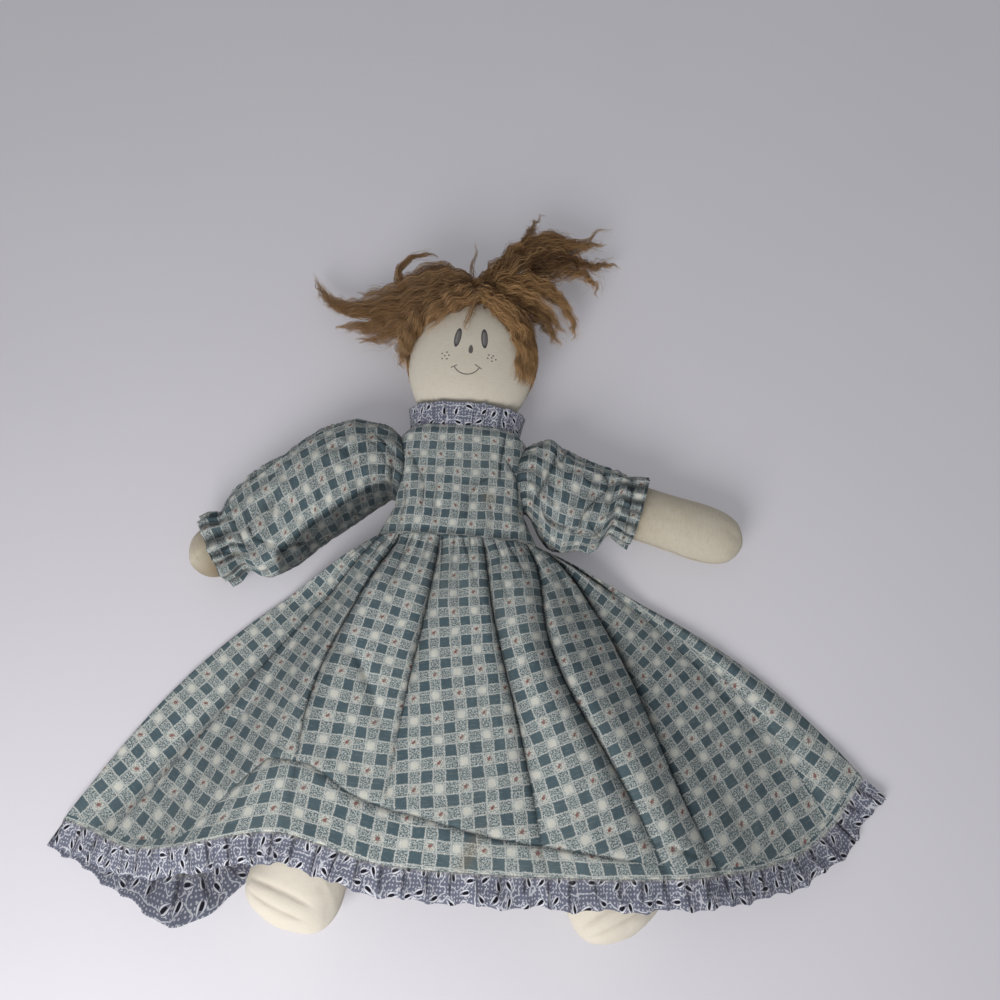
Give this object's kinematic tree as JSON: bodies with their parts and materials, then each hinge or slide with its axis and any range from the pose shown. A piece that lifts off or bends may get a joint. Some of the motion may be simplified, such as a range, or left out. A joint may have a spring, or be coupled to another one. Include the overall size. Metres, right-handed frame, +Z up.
{
  "type": "rag doll",
  "caption": "Stuffed muslin rag doll with mohair locks and an inked face, in a gathered check dress with puffed sleeves and paisley ruffles at neck and hem.",
  "frame": {"origin": "on the surface that the doll lies on, on the flat underside of the skirt back, straight under the fold between the torso and the legs", "axes": "+Z up out of the face and the front of the dress, +Y from the feet to the head, +X to the doll's left"},
  "size_m": [0.5635, 0.5535, 0.0633],
  "materials": {
    "muslin": "unbleached plain-weave cotton muslin, matt",
    "stuffing": "loose polyester fibrefill",
    "check_cotton": "printed slate-teal and cream check on plain-weave cotton, matt",
    "paisley_cotton": "printed grey-blue paisley on plain-weave cotton, matt",
    "mohair": "golden-brown curly mohair locks with a soft sheen",
    "elastic": "white covered elastic band"
  },
  "bodies": {
    "root": {"skirt_back": "check_cotton", "skirt_front": "check_cotton", "hem_ruffle_back": "paisley_cotton", "hem_ruffle_front": "paisley_cotton"},
    "torso": {"torso_skin": "muslin", "torso_filling": "stuffing", "bodice_front": "check_cotton", "bodice_back": "check_cotton", "neck_ruffle": "paisley_cotton"},
    "head": {"head_skin": "muslin", "head_filling": "stuffing", "hair_base": "mohair", "right_bunch_upper_lock": "mohair", "right_bunch_lower_lock": "mohair", "right_looped_lock": "mohair", "right_temple_lock": "mohair", "left_bunch_spike_lock": "mohair", "left_bunch_arched_lock": "mohair", "left_bunch_outer_lock": "mohair", "left_bunch_lower_lock": "mohair", "left_cheek_lock": "mohair", "right_forehead_lock": "mohair", "left_forehead_lock": "mohair"},
    "right_arm": {"right_arm_skin": "muslin", "right_arm_filling": "stuffing", "right_sleeve": "check_cotton", "right_cuff_elastic": "elastic"},
    "left_arm": {"left_arm_skin": "muslin", "left_arm_filling": "stuffing", "left_sleeve": "check_cotton", "left_cuff_elastic": "elastic"},
    "right_leg": {"right_leg_skin": "muslin", "right_leg_filling": "stuffing"},
    "left_leg": {"left_leg_skin": "muslin", "left_leg_filling": "stuffing"}
  },
  "joints": [
    {"name": "hip_fold", "type": "hinge", "parent": "root", "child": "torso", "pos_m": [0, 0, 0.0232], "axis": [1, 0, 0], "range_deg": [0, 90], "deforming": ["skirt_front", "skirt_back"]},
    {"name": "neck_nod", "type": "hinge", "parent": "torso", "child": "head", "pos_m": [-0.003, 0.09996, 0.0232], "axis": [1, 0, 0], "range_deg": [-15, 35], "deforming": ["neck_ruffle"]},
    {"name": "right_arm_lift", "type": "hinge", "parent": "torso", "child": "right_arm", "pos_m": [-0.06202, 0.074, 0.024], "axis": [-0.5225, 0.8526, 0], "range_deg": [-20, 100], "deforming": ["right_sleeve"]},
    {"name": "left_arm_lift", "type": "hinge", "parent": "torso", "child": "left_arm", "pos_m": [0.05758, 0.074, 0.024], "axis": [-0.2334, -0.9724, 0], "range_deg": [-20, 100], "deforming": ["left_sleeve"]},
    {"name": "right_leg_swing", "type": "hinge", "parent": "root", "child": "right_leg", "pos_m": [-0.026, -0.0448, 0.0232], "axis": [0, 0, -1], "range_deg": [-12, 8], "deforming": ["skirt_front", "hem_ruffle_front"]},
    {"name": "left_leg_swing", "type": "hinge", "parent": "root", "child": "left_leg", "pos_m": [0.026, -0.0448, 0.0232], "axis": [0, 0, 1], "range_deg": [-24, 5], "deforming": ["skirt_front", "hem_ruffle_front"]}
  ]
}
